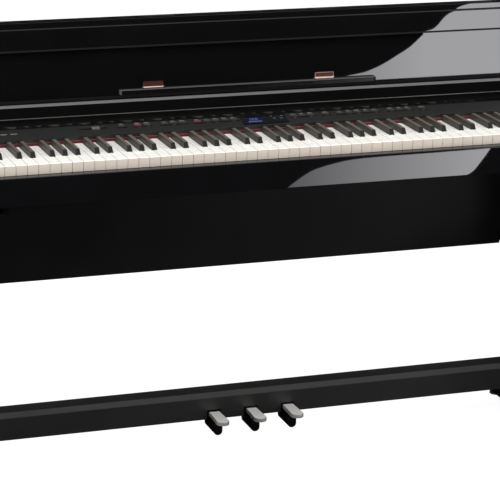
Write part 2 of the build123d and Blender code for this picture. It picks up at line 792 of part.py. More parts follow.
cap_z = key_z - pedal_top
lever_top_z = cap_z - pedal_cap_thick
tip_y, widest_y = key_y + pedal_tip, key_y + pedal_cap_shoulder
cap_back_y = key_y + pedal_cap_back
for name, x in zip(("left", "middle", "right"), pedal_places):
    back_half, front_half = pedal_back_width / 2, pedal_front_width / 2
    with BuildPart() as pedal_cap:
        with BuildSketch(Plane.XY.offset(lever_top_z)):
            with BuildLine():
                Line((x - back_half, cap_back_y), (x - front_half, widest_y))
                ThreePointArc((x - front_half, widest_y), (x, tip_y), (x + front_half, widest_y))
                Line((x + front_half, widest_y), (x + back_half, cap_back_y))
                Line((x + back_half, cap_back_y), (x - back_half, cap_back_y))
            make_face()
        extrude(amount=pedal_cap_thick)
        fillet(pedal_cap.faces().sort_by(Axis.Z)[-1].edges().sort_by(Axis.Y)[:3],
               pedal_cap_round)
    save(pedal_cap, f"pedal_cap_{name}")

    with BuildPart() as lever:
        half = lever_width / 2
        low_z = lever_top_z - lever_height
        with BuildSketch(Plane.XZ.offset(-(key_y + lever_back))):
            with BuildLine():
                Polyline((x - half, low_z + half), (x - half, lever_top_z), (x + half, lever_top_z),
                         (x + half, low_z + half))
                ThreePointArc((x + half, low_z + half), (x, low_z), (x - half, low_z + half))
            make_face()
        extrude(amount=lever_back - lever_front)
        rod(x - lever_width, x + lever_width, pedal_y, pedal_z, pedal_pin_radius + running,
            Mode.SUBTRACT)
    save(lever, f"pedal_lever_{name}")

bracket_half = pedal_pitch + pedal_notch_width / 2
ear_offset = lever_width / 2 + bracket_ear_gap
with BuildPart() as pedal_bracket:
    plate_z = ped_rail_top_z - wall
    block((-bracket_half, bracket_half),
          (ped_rail_y + wall + bracket_side, ped_rail_back_y - wall - bracket_side),
          (plate_z - bracket_plate, plate_z))
    ear_radius = pedal_pin_radius + bracket_ear
    for x in pedal_places:
        for x0 in (x - ear_offset - bracket_ear, x + ear_offset):
            x1 = x0 + bracket_ear
            block((x0, x1), (pedal_y - ear_radius, pedal_y + ear_radius), (pedal_z, plate_z))
            rod(x0, x1, pedal_y, pedal_z, ear_radius)
    rod(-bracket_half, bracket_half, pedal_y, pedal_z, pedal_pin_radius + running,
        Mode.SUBTRACT)
save(pedal_bracket, "pedal_bracket")

with BuildPart() as pedal_pin:
    rod(-bracket_half, bracket_half, pedal_y, pedal_z, pedal_pin_radius)
save(pedal_pin, "pedal_pin")
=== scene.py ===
import json
import logging
import math
from collections.abc import Callable
from dataclasses import dataclass, replace
from enum import Enum
from functools import cache

import bmesh
import bpy
from mathutils import Matrix, Vector

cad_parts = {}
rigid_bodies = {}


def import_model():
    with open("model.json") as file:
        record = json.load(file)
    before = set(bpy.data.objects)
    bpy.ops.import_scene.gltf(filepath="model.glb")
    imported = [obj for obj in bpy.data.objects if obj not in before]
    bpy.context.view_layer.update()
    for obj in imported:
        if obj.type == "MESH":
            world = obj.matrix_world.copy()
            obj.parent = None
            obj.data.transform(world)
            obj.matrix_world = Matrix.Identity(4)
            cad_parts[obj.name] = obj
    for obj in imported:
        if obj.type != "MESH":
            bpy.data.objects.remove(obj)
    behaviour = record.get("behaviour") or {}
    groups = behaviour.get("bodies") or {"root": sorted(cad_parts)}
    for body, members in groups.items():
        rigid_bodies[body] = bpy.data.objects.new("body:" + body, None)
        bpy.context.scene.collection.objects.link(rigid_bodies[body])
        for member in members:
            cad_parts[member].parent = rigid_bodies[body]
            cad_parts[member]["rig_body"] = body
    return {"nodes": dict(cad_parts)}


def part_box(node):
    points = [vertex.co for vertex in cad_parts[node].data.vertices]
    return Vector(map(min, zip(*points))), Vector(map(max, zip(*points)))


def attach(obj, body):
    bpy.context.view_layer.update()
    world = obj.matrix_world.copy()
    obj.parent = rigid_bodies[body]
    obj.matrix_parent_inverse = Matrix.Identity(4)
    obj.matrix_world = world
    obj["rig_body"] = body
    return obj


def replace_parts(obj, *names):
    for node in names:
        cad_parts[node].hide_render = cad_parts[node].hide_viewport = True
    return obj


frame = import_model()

log = logging.getLogger("digital_piano")
logging.basicConfig(level=logging.INFO, format="%(message)s")

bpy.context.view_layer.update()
MM = 0.001
KEY_PITCH = 165.0 / 7.0 * MM            # seven white keys take 165 mm
MERGE_DISTANCE = 2e-6                   # metres between corners that are one
FLAT_ANGLE = math.radians(0.6)          # faces that turn less than this are one flat face
ROUND_ANGLE = math.radians(30.0)        # edges that turn more than this are rounded
SHARP_ANGLE = math.radians(32.0)        # edges that turn more than this are shaded sharp

Colour = tuple[float, float, float]
Node, Socket = bpy.types.Node, bpy.types.NodeSocket
Value = float | tuple[float, ...] | Socket
Mesh, Face = bmesh.types.BMesh, bmesh.types.BMFace
Point = tuple[float, float, float] | Vector
Material = bpy.types.Material


def linear(colour: Colour) -> Colour:
    """A screen colour, with channels from 0 to 255, as scene-linear values."""
    parts = [channel / 255.0 for channel in colour]
    return tuple(v / 12.92 if v <= 0.04045 else ((v + 0.055) / 1.055) ** 2.4 for v in parts)


def rgba(colour: Colour) -> tuple[float, float, float, float]:
    """The colour with full opacity."""
    return (*colour, 1.0)


# ------------ shader nodes
class Nodes:
    """A node tree, with short ways to add nodes and to feed their inputs."""

    MIX_INPUTS = (0, 6, 7)              # factor, first colour and second colour of a mix node
    MIX_RESULT = 2

    def __init__(self, tree: bpy.types.NodeTree) -> None:
        """Work on a tree."""
        self.tree = tree

    @classmethod
    def emptied(cls, owner: Material | bpy.types.World) -> "Nodes":
        """The tree of a material or a world, with no node in it."""
        owner.use_nodes = True
        owner.node_tree.nodes.clear()
        return cls(owner.node_tree)

    def feed(self, socket: Socket, value: Value) -> None:
        """Link an input to an output, or give it a constant value."""
        if isinstance(value, Socket):
            self.tree.links.new(value, socket)
        else:
            socket.default_value = value

    def add(self, kind: str, **values: Value) -> Node:
        """Add a node.

        Args:
            kind: Its type, without the leading ShaderNode.
            values: Values of its inputs, with an underscore for a blank in a name.

        Returns:
            The node.
        """
        made = self.tree.nodes.new(f"ShaderNode{kind}")
        for label, value in values.items():
            self.feed(made.inputs[label.replace("_", " ")], value)
        return made

    def calc(self, operation: str, first: Value, second: Value = 0.0) -> Socket:
        """Result of a math node."""
        made = self.add("Math")
        made.operation = operation
        self.feed(made.inputs[0], first)
        self.feed(made.inputs[1], second)
        return made.outputs[0]

    def spread(self, value: Value, low: float, high: float, to_low: float = 0.0,
               to_high: float = 1.0) -> Socket:
        """A value mapped from low..high to to_low..to_high, and kept within them."""
        return self.add("MapRange", Value=value, From_Min=low, From_Max=high, To_Min=to_low,
                        To_Max=to_high).outputs["Result"]

    def noise(self, place: Value, scale: Value, detail: float) -> Socket:
        """Smooth noise from 0 to 1, with a scale and a number of octaves."""
        return self.add("TexNoise", Vector=place, Scale=scale, Detail=detail).outputs["Fac"]

    def along(self, vector: Value, axis: str) -> Socket:
        """One component of a vector."""
        return self.add("SeparateXYZ", Vector=vector).outputs[axis]

    def mix(self, mask: Value, first: Value, second: Value) -> Socket:
        """A colour between two colours, by a mask."""
        made = self.add("Mix")
        made.data_type = "RGBA"
        for number, value in zip(self.MIX_INPUTS, (mask, first, second)):
            self.feed(made.inputs[number], value)
        return made.outputs[self.MIX_RESULT]

    def mix_shader(self, mask: Value, first: Node, second: Node) -> Socket:
        """A shader between two shaders, by a mask."""
        made = self.add("MixShader")
        for socket, value in zip(made.inputs, (mask, first.outputs[0], second.outputs[0])):
            self.feed(socket, value)
        return made.outputs[0]


class Effect(Enum):
    """Surface effects that several finishes share."""

    GRAIN = "surface_grain"
    SMUDGE = "smudge_film"
    DUST = "settled_dust"
    BRUSH = "brushed_streaks"
    WEAVE = "cloth_weave"


class EffectLibrary:
    """Builds each shared node group once."""

    @classmethod
    @cache
    def get(cls, effect: Effect) -> bpy.types.NodeTree:
        """The node group of an effect, built at its first use.

        Args:
            effect: The wanted effect.

        Returns:
            Its node group.
        """
        tree = bpy.data.node_groups.new(effect.value, "ShaderNodeTree")
        second = "Normal" if effect is Effect.DUST else "Scale"
        for label in ("Place", second):
            kind = "NodeSocketFloat" if label == "Scale" else "NodeSocketVector"
            tree.interface.new_socket(name=label, in_out="INPUT", socket_type=kind)
        given = tree.nodes.new("NodeGroupInput").outputs
        fill = {Effect.GRAIN: cls._grain, Effect.SMUDGE: cls._smudge, Effect.DUST: cls._dust,
                Effect.BRUSH: cls._brush, Effect.WEAVE: cls._weave}[effect]
        results = fill(Nodes(tree), given["Place"], given[second])
        for label in results:
            tree.interface.new_socket(name=label, in_out="OUTPUT", socket_type="NodeSocketFloat")
        out = tree.nodes.new("NodeGroupOutput")
        for label, result in results.items():
            tree.links.new(result, out.inputs[label])
        return tree

    @staticmethod
    def _grain(nodes: Nodes, place: Socket, scale: Socket) -> dict[str, Socket]:
        """Fine moulded or sprayed grain as a height, and its coarse variation as a mask."""
        fine, coarse = nodes.noise(place, scale, detail=3.0), nodes.noise(place, 9.0, detail=2.0)
        return {"Height": fine, "Mask": nodes.spread(coarse, 0.3, 0.7)}

    @staticmethod
    def _smudge(nodes: Nodes, place: Socket, scale: Socket) -> dict[str, Socket]:
        """Wiped patches and fine hairline marks of a handled surface."""
        patches = nodes.spread(nodes.noise(place, scale, detail=4.0), 0.42, 0.75)
        stretched = nodes.add("Mapping", Vector=place, Scale=(12.0, 160.0, 160.0),
                              Rotation=(0.0, 0.5, 0.35)).outputs["Vector"]
        lines = nodes.spread(nodes.noise(stretched, 6.0, detail=2.0), 0.62, 0.75)
        return {"Mask": nodes.calc("MAXIMUM", patches, nodes.calc("MULTIPLY", lines, 0.35))}

    @staticmethod
    def _dust(nodes: Nodes, place: Socket, normal: Socket) -> dict[str, Socket]:
        """Specks and film of dust on faces that look up."""
        up = nodes.spread(nodes.along(normal, "Z"), 0.6, 1.0)
        specks = nodes.spread(nodes.noise(place, 420.0, detail=1.0), 0.66, 0.74)
        film = nodes.calc("MULTIPLY", nodes.noise(place, 14.0, detail=4.0), 0.3)
        return {"Mask": nodes.calc("MULTIPLY", up, nodes.calc("MAXIMUM", specks, film))}

    @staticmethod
    def _brush(nodes: Nodes, place: Socket, scale: Socket) -> dict[str, Socket]:
        """Long fine streaks along x of brushed or rolled metal."""
        stretched = nodes.add("Mapping", Vector=place, Scale=(1.0, 40.0, 40.0)).outputs["Vector"]
        return {"Height": nodes.noise(stretched, scale, detail=3.0)}

    @staticmethod
    def _weave(nodes: Nodes, place: Socket, scale: Socket) -> dict[str, Socket]:
        """Crossed threads as a height."""
        bands = []
        for direction in ("X", "Y"):
            wave = nodes.add("TexWave", Vector=place, Scale=scale)
            wave.bands_direction = direction
            bands.append(wave.outputs["Fac"])
        return {"Height": nodes.calc("MAXIMUM", *bands)}


# ------------ finishes
class KeyTone(Enum):
    """Whether a finish varies its colour from key to key."""

    EVEN = 0
    BY_KEY = 1


@dataclass(frozen=True)
class Finish:
    """A surface finish, from its colour to its grain, smudges and dust."""

    name: str
    colour: Colour                      # screen values
    roughness: float
    metallic: float = 0.0
    specular: float = 0.5
    coat: float = 0.0
    mottle: float = 0.08
    smudge: float = 0.06
    smudge_scale: float = 11.0
    grain_scale: float = 900.0
    grain_depth: float = 0.0
    brush: float = 0.0
    weave: float = 0.0
    dust: float = 0.0
    sheen: float = 0.0
    glow: float = 0.0
    tone: KeyTone = KeyTone.EVEN

    @cache
    def material(self) -> Material:
        """The material of this finish, built at its first use."""
        made = bpy.data.materials.new(f"{self.name}_finish")
        made.use_nodes = True
        nodes = Nodes(made.node_tree)
        shader = made.node_tree.nodes["Principled BSDF"]
        for label, value in (("Metallic", self.metallic), ("Specular IOR Level", self.specular),
                             ("Coat Weight", self.coat), ("Sheen Weight", self.sheen)):
            shader.inputs[label].default_value = value
        base = linear(self.colour)
        if self.glow:
            shader.inputs["Emission Color"].default_value = rgba(base)
            shader.inputs["Emission Strength"].default_value = self.glow
        place = nodes.add("TexCoord")
        grain = self._group(nodes, Effect.GRAIN, place, self.grain_scale)
        darker = tuple(c * (1.0 - self.mottle) for c in base)
        lighter = tuple(min(1.0, c * (1.0 + self.mottle)) for c in base)
        colour = nodes.mix(grain.outputs["Mask"], rgba(darker), rgba(lighter))
        if self.tone is KeyTone.BY_KEY:
            colour = self._key_tone(nodes, place, colour)
        if self.dust:
            film = self._group(nodes, Effect.DUST, place).outputs["Mask"]
            colour = nodes.mix(nodes.calc("MULTIPLY", film, self.dust), colour, rgba(DUST))
        nodes.feed(shader.inputs["Base Color"], colour)
        smudge = self._group(nodes, Effect.SMUDGE, place, self.smudge_scale)
        nodes.feed(shader.inputs["Roughness"],
                   nodes.spread(smudge.outputs["Mask"], 0.0, 1.0, self.roughness,
                                min(1.0, self.roughness + self.smudge)))
        self._relief(nodes, place, grain, shader)
        return made

    @staticmethod
    def _group(nodes: Nodes, effect: Effect, place: Node, scale: float | None = None) -> Node:
        """A shared group on object coordinates.

        Args:
            nodes: The material's tree.
            effect: Which effect.
            place: The texture coordinate node.
            scale: Its scale, or None for an effect that takes the normal instead.

        Returns:
            The group node.
        """
        made = nodes.add("Group")
        made.node_tree = EffectLibrary.get(effect)
        nodes.feed(made.inputs["Place"], place.outputs["Object"])
        if scale is None:
            nodes.feed(made.inputs["Normal"], place.outputs["Normal"])
        else:
            made.inputs["Scale"].default_value = scale
        return made

    @staticmethod
    def _key_tone(nodes: Nodes, place: Node, colour: Value) -> Socket:
        """A slightly different tone for each key of the row."""
        key = nodes.calc("DIVIDE", nodes.along(place.outputs["Object"], "X"), KEY_PITCH)
        chance = nodes.add("TexWhiteNoise")
        chance.noise_dimensions = "1D"
        nodes.feed(chance.inputs["W"], nodes.calc("FLOOR", key))
        share = nodes.calc("MULTIPLY", chance.outputs["Value"], AGED_SHARE)
        return nodes.mix(share, colour, rgba(AGED))

    def _relief(self, nodes: Nodes, place: Node, grain: Node, shader: Node) -> None:
        """Grain, streaks or weave as bump on the normal.

        Args:
            nodes: The material's tree.
            place: The texture coordinate node.
            grain: The placed grain group.
            shader: The shader that takes the normal.
        """
        layers = []
        if self.grain_depth:
            layers.append((grain, self.grain_depth))
        if self.brush:
            layers.append((self._group(nodes, Effect.BRUSH, place, BRUSH_SCALE), self.brush))
        if self.weave:
            layers.append((self._group(nodes, Effect.WEAVE, place, self.grain_scale), self.weave))
        below = None
        for group, depth in layers:
            bump = nodes.add("Bump", Strength=depth, Distance=BUMP_DISTANCE,
                             Height=group.outputs["Height"])
            if below is not None:
                nodes.feed(bump.inputs["Normal"], below)
            below = bump.outputs["Normal"]
        if below is not None:
            nodes.feed(shader.inputs["Normal"], below)


BRUSH_SCALE = 60.0
BUMP_DISTANCE = 0.0004                  # metres
DUST = linear((150, 146, 138))
AGED = linear((214, 208, 192))          # tone that some white keys lean towards
AGED_SHARE = 0.1                        # most of that tone that a key takes

POLISHED = Finish("polished_black_lacquer", (10.54, 10.85, 11.77), 0.012, smudge=0.008,
                  mottle=0.1, dust=0.015, smudge_scale=5.0)
SATIN = Finish("satin_black_board", (17.0, 16.8, 16.5), 0.4, specular=0.28, smudge=0.08,
               mottle=0.12, grain_scale=1400.0, grain_depth=0.25, dust=0.03)
RAIL = Finish("rail_black_lacquer", (25.1, 24.8, 24.1), 0.42, specular=0.95, smudge=0.07,
              mottle=0.1, dust=0.03)
# painted light: a grey much lighter than the lacquer for the hinge wall's front, standing in for
# light in its shaded recess
HINGE_WALL_PAINTED_LIGHT = Finish("hinge_wall_painted_light", (48, 47, 45), 0.6, specular=0.3, grain_scale=1400.0,
              grain_depth=0.2)
# painted highlight: a pale strip along the shelf's lower front edge, where the rounded lacquer edge
# would catch the light
SHELF_EDGE_PAINTED_HIGHLIGHT = Finish("pale_edge_painted_highlight_strip", (88, 86, 84), 0.3, smudge=0.1, mottle=0.05)
PANEL = Finish("panel_plastic", (30, 31, 30), 0.36, mottle=0.05, grain_scale=2200.0,
               grain_depth=0.3, dust=0.03)
# painted shade: dark bars under the button rows and along the panel's rear edge, also the slider's
# track
PAINTED_SHADE_AND_TRACK = Finish("panel_painted_shade_and_track", (9, 9, 9), 0.5, specular=0.2)
LEDGE = Finish("ledge_plastic", (10, 10, 11), 0.12, specular=0.25, smudge=0.08, grain_scale=2000.0,
               grain_depth=0.1, dust=0.03)
# painted highlight: a grey much lighter than the ledge, on its upward and left-facing faces, where
# light falls on them
LEDGE_PAINTED_HIGHLIGHT = Finish("ledge_painted_highlight", (86, 83, 83), 0.4, smudge=0.1, mottle=0.06)
BUTTON = Finish("button_plastic", (55, 55, 53), 0.4, smudge=0.08, grain_scale=2600.0,
                grain_depth=0.15)
SLIDER = Finish("slider_cap", (96, 94, 91), 0.4, smudge=0.08)
LIT = Finish("lit_button_plastic", (104, 50, 60), 0.35, smudge=0.05)
GLASS = Finish("display_glass", (10, 11, 13), 0.06, smudge=0.04, coat=0.4)
LCD = Finish("display_lcd", (12, 13, 48), 0.3, glow=0.05, smudge=0.02)
LCD_INK = Finish("display_digits", (126, 136, 198), 0.3, glow=0.3)
INK = Finish("printed_marks", (134, 134, 130), 0.5, smudge=0.04)
WHITE_KEY = Finish("white_key_plastic", (255, 253, 246), 0.2, smudge=0.12, mottle=0.012,
                   smudge_scale=40.0, tone=KeyTone.BY_KEY)
# painted shade: darker copies of the white key plastic for the fronts and sides
WHITE_KEY_PAINTED_SHADE_FRONT = Finish("white_key_painted_shade_front", (192, 182, 170), 0.35, smudge=0.1, mottle=0.02,
                     smudge_scale=40.0)
WHITE_KEY_PAINTED_SHADE_SIDE = Finish("white_key_painted_shade_side", (185, 174, 158), 0.5, smudge=0.1, mottle=0.1)
BLACK_KEY = Finish("black_key_plastic", (62, 59, 54), 0.35, specular=0.3, smudge=0.12,
                   smudge_scale=40.0, grain_scale=2600.0, grain_depth=0.2)
# painted light and shade: a lighter copy of the black key plastic for the tops and a darker copy
# for the fronts
BLACK_KEY_PAINTED_LIGHT_TOP = Finish("black_key_painted_light_top", (92, 88, 82), 0.5, smudge=0.1, mottle=0.15,
                   grain_scale=1500.0, grain_depth=0.4, smudge_scale=40.0)
BLACK_KEY_PAINTED_SHADE_FRONT = Finish("black_key_painted_shade_front", (26, 25, 23), 0.35, specular=0.3, smudge=0.12, mottle=0.1)
HARDBOARD = Finish("painted_hardboard", (46, 45, 44), 0.7, specular=0.3, smudge=0.08, mottle=0.12,
                   grain_scale=700.0, grain_depth=0.5)
# painted highlight: a matt grey, lighter than the lacquer, for the flap's rounded lower edge
FLAP_EDGE_PAINTED_HIGHLIGHT = Finish("flap_edge_painted_highlight_band", (26, 26, 26), 0.6, specular=0.1)
STEEL = Finish("chassis_steel", (140, 142, 145), 0.38, metallic=1.0, brush=0.2, smudge=0.1)
BLACK_STEEL = Finish("hinge_black", (20, 20, 20), 0.35, smudge=0.1, brush=0.1)
BRASS = Finish("hinge_brass", (196, 158, 92), 0.28, metallic=1.0, brush=0.15, smudge=0.15)
COPPER = Finish("holder_copper", (140, 78, 70), 0.3, metallic=0.8, smudge=0.2, smudge_scale=90.0,
                grain_scale=1100.0, grain_depth=0.8, mottle=0.4)
COPPER_PALE = replace(COPPER, name="holder_copper_pale", colour=(196, 158, 152), metallic=0.7,
                      mottle=0.3)
COPPER_FIELD = replace(COPPER_PALE, name="holder_copper_field", colour=(104, 62, 56), roughness=0.4,
                       grain_scale=700.0, grain_depth=1.0, mottle=0.6)
# painted highlight: the barrel's copper made much paler than the plate's, on top of its real polish
COPPER_PAINTED_HIGHLIGHT = Finish("holder_barrel_painted_highlight", (246, 222, 208), 0.22, metallic=0.6, smudge=0.1,
                    smudge_scale=90.0)
PEDAL_RIM = Finish("pedal_polished_rim", (156, 154, 152), 0.2, metallic=0.62, smudge=0.2,
                   mottle=0.9, grain_scale=500.0, grain_depth=0.6)
PEDAL_TOP = Finish("pedal_satin_top", (206, 203, 199), 0.42, metallic=0.3, smudge=0.15,
                   smudge_scale=60.0, grain_scale=2600.0, grain_depth=0.35, mottle=0.03)
FELT = Finish("red_felt", (84, 10, 18), 0.95, mottle=0.2, grain_scale=1600.0, grain_depth=0.9,
              sheen=0.3)
# painted reflection: a pale matt sheet that stands in for the bright background mirrored in the
# shelf's top
SHELF_PAINTED_REFLECTION = Finish("shelf_painted_reflection_sheet", (101, 97, 98), 0.9, mottle=0.06, grain_scale=1500.0,
                grain_depth=0.6, sheen=0.1)
CLOTH = Finish("speaker_cloth", (22, 22, 22), 0.9, grain_scale=700.0, weave=0.8)
RUBBER = Finish("pad_rubber", (30, 30, 30), 0.8, grain_scale=1200.0, grain_depth=0.4)
LEVER = Finish("lever_plastic", (9, 9, 9), 0.35, specular=0.1, grain_scale=1800.0, grain_depth=0.2)
BOARD = Finish("circuit_board", (20, 84, 46), 0.4, mottle=0.1, smudge=0.1)
SPEAKER = Finish("speaker_black", (26, 26, 27), 0.5, grain_depth=0.3)
SCREW = Finish("screw_zinc", (70, 70, 72), 0.32, metallic=1.0, smudge=0.15)
RECESS = Finish("screw_recess", (8, 8, 8), 0.7)
NICKEL = Finish("socket_nickel", (170, 168, 160), 0.22, metallic=1.0, smudge=0.1)


# ------------ meshes
@dataclass(frozen=True)
class Softening:
    """How the sharp edges of a copied node are rounded, in millimetres."""

    width: float
    shortest: float
    segments: int


def cad_copy(node: str) -> Mesh:
    """A merged copy of a CAD node's mesh, with its flat faces whole again.

    Args:
        node: Name of the node.

    Returns:
        A new bmesh.
    """
    mesh = bmesh.new()
    mesh.from_mesh(frame["nodes"][node].data)
    bmesh.ops.remove_doubles(mesh, verts=mesh.verts[:], dist=MERGE_DISTANCE)
    bmesh.ops.dissolve_limit(mesh, angle_limit=FLAT_ANGLE, verts=mesh.verts[:],
                             edges=mesh.edges[:])
    return mesh


def soften(mesh: Mesh, how: Softening) -> None:
    """Round the long sharp edges.

    Args:
        mesh: The mesh to change.
        how: Width, shortest edge and number of segments.
    """
    edges = [e for e in mesh.edges if len(e.link_faces) == 2
             and e.calc_face_angle(0.0) > ROUND_ANGLE and e.calc_length() > how.shortest * MM]
    if edges:
        bmesh.ops.bevel(mesh, geom=edges, offset=how.width * MM, segments=how.segments,
                        profile=0.5, affect="EDGES", loop_slide=True, material=-1)


def new_object(mesh: Mesh, name: str, materials: list[Material]) -> bpy.types.Object:
    """An object made of a mesh, which is freed, with its materials."""
    data = bpy.data.meshes.new(name)
    mesh.to_mesh(data)
    mesh.free()
    for material in materials:
        data.materials.append(material)
    made = bpy.data.objects.new(name, data)
    bpy.context.scene.collection.objects.link(made)
    return made


def finish_piece(mesh: Mesh, name: str, finishes: list[Finish], body: str) -> bpy.types.Object:
    """Make an object of a mesh, give it its materials and let it ride on a body.

    Args:
        mesh: The shape, in metres in the shared frame. It is freed.
        name: Name of the piece.
        finishes: Its finishes, in the order of its material numbers.
        body: The body it moves with.

    Returns:
        The new object.
    """
    for face in mesh.faces:
        face.smooth = True
    for edge in mesh.edges:
        if len(edge.link_faces) == 2 and edge.calc_face_angle(0.0) > SHARP_ANGLE:
            edge.smooth = False
    made = new_object(mesh, name, [item.material() for item in finishes])
    weighted = made.modifiers.new("weighted_normals", "WEIGHTED_NORMAL")
    weighted.keep_sharp = True
    weighted.weight = 100
    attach(made, body)
    log.info("%s: %d faces", name, len(made.data.polygons))
    return made


def replace_node(node: str, mesh: Mesh, finishes: list[Finish]) -> None:
    """Let a finished mesh stand for a CAD node, on the node's own body.

    Args:
        node: Name of the node.
        mesh: The shape. It is freed.
        finishes: Its finishes, in the order of its material numbers.
    """
    body = frame["nodes"][node]["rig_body"]
    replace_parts(finish_piece(mesh, f"{node}_finished", finishes, body), node)


def rounded_node(node: str, finishes: list[Finish], how: Softening,
                 chosen: Callable[[Face], int] | None = None) -> None:
    """Replace a CAD node by a copy with rounded edges.

    Args:
        node: Name of the node.
        finishes: Finishes of the copy.
        how: How the edges are rounded.
        chosen: Gives the number of the finish of a face, or None where there is one finish.
    """
    mesh = cad_copy(node)
    soften(mesh, how)
    if chosen is not None:
        for face in mesh.faces:
            face.material_index = chosen(face)
    replace_node(node, mesh, finishes)


def dress(node: str, finish: Finish) -> None:
    """Give a CAD node a finish in place."""
    data = frame["nodes"][node].data
    data.materials.clear()
    data.materials.append(finish.material())


def add_box(mesh: Mesh, low: Point, high: Point, material: int = 0,
            turn: Matrix | None = None) -> list[bmesh.types.BMVert]:
    """Add a box between two corners, in metres.

    Args:
        mesh: The mesh to add to.
        low: Lowest corner.
        high: Highest corner.
        material: Number of the finish of its faces.
        turn: A matrix applied to the box, or None.

    Returns:
        The new vertices.
    """
    low, high = Vector(low), Vector(high)
    place = Matrix.Translation((high + low) / 2) @ Matrix.Diagonal((*(high - low), 1.0))
    if turn is not None:
        place = turn @ place
    verts = bmesh.ops.create_cube(mesh, size=1.0, matrix=place)["verts"]
    for face in {face for vert in verts for face in vert.link_faces}:
        face.material_index = material
    return verts


# ------------ cabinet
@dataclass
class Cabinet:
    """Side boards, rails, back and feet. Sizes are in millimetres."""

    board_edge: float = 1.0
    screw_radius: float = 3.6
    screw_height: float = 0.8
    screw_inset: float = 12.0  # from the back board's two long edges
    screw_places: tuple[float, ...] = (-600.0, -360.0, -120.0, 120.0, 360.0, 600.0)
    cloth_places: tuple[float, float] = (-430.0, 430.0)
    cloth_half: tuple[float, float] = (53.0, 21.0)
    cloth_levels: tuple[float, float] = (2.0, 3.0)  # above the key bed's underside
    cloth_corner: float = 19.0
    polished: tuple[str, ...] = ("side_board_left", "side_board_right", "front_rail",
                                 "key_blocks", "rear_top_board")

    def build(self) -> None:
        """Dress the boards and add the screws and speaker cloth."""
        how = Softening(self.board_edge, 30.0, 3)
        for node in self.polished:
            rounded_node(node, [POLISHED], how)
        for node in ("back_panel", "key_bed"):
            rounded_node(node, [SATIN], Softening(0.5, 100.0, 2))
        self._back_board()
        rounded_node("pedal_rail", [RAIL], Softening(0.7, 100.0, 3))
        rounded_node("foot_pads", [RUBBER], Softening(0.6, 1.0, 2))
        # the hinge wall's front faces take the lighter grey, painted light in the recess behind the
        # panel
        rounded_node("hinge_wall", [POLISHED, HINGE_WALL_PAINTED_LIGHT], how,
                     lambda face: int(face.normal.y < -0.9))
        self._screws()
        self._speaker_cloth()

    def _back_board(self) -> None:
        """The back board, its rear face set in so that the screw heads stand on it."""
        _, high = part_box("cabinet_back")
        mesh = cad_copy("cabinet_back")
        for vert in mesh.verts:
            if vert.co.y > high.y - 0.1 * MM:
                vert.co.y -= self.screw_height * MM
        soften(mesh, Softening(0.4, 100.0, 2))
        replace_node("cabinet_back", mesh, [HARDBOARD])

    def _screws(self) -> None:
        """Two rows of cross-head screws in the back board."""
        low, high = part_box("cabinet_back")
        inset = self.screw_inset * MM
        mesh = bmesh.new()
        for z in (low.z + inset, high.z - inset):
            for x in self.screw_places:
                self._screw(mesh, Vector((x * MM, high.y - 0.53 * self.screw_height * MM, z)))
        finish_piece(mesh, "back_screws", [SCREW, RECESS], "cabinet")

    def _screw(self, mesh: Mesh, at: Vector) -> None:
        """One low screw head that looks back, with a cross recess.

        Args:
            mesh: The mesh to add to.
            at: Middle of the head.
        """
        radius, height = self.screw_radius * MM, self.screw_height * MM
        turn = Matrix.Translation(at) @ Matrix.Rotation(math.radians(-90.0), 4, "X")
        bmesh.ops.create_cone(mesh, cap_ends=True, segments=16, radius1=radius,
                              radius2=0.7 * radius, depth=height, matrix=turn)
        arm, slot = 0.45 * radius, 0.1 * radius
        top = at.y + height / 2
        for wide, tall in ((arm, slot), (slot, arm)):
            add_box(mesh, (at.x - wide, top - 0.1 * height, at.z - tall),
                    (at.x + wide, top + 0.02 * height, at.z + tall), material=1)

    def _speaker_cloth(self) -> None:
        """Cloth behind the openings below the two speakers."""
        low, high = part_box("speakers")
        bed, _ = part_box("key_bed")
        half_x, half_y = (v * MM for v in self.cloth_half)
        bottom, top = (bed.z + v * MM for v in self.cloth_levels)
        middle = (low.y + high.y) / 2
        mesh = bmesh.new()
        for x in (v * MM for v in self.cloth_places):
            add_box(mesh, (x - half_x, middle - half_y, bottom),
                    (x + half_x, middle + half_y, top))
        upright = [e for e in mesh.edges if abs(e.verts[0].co.z - e.verts[1].co.z) > 0.5 * MM]
        bmesh.ops.bevel(mesh, geom=upright, offset=self.cloth_corner * MM, segments=6,
                        profile=0.5, affect="EDGES", clamp_overlap=True, material=-1)
        finish_piece(mesh, "speaker_cloth", [CLOTH], "cabinet")


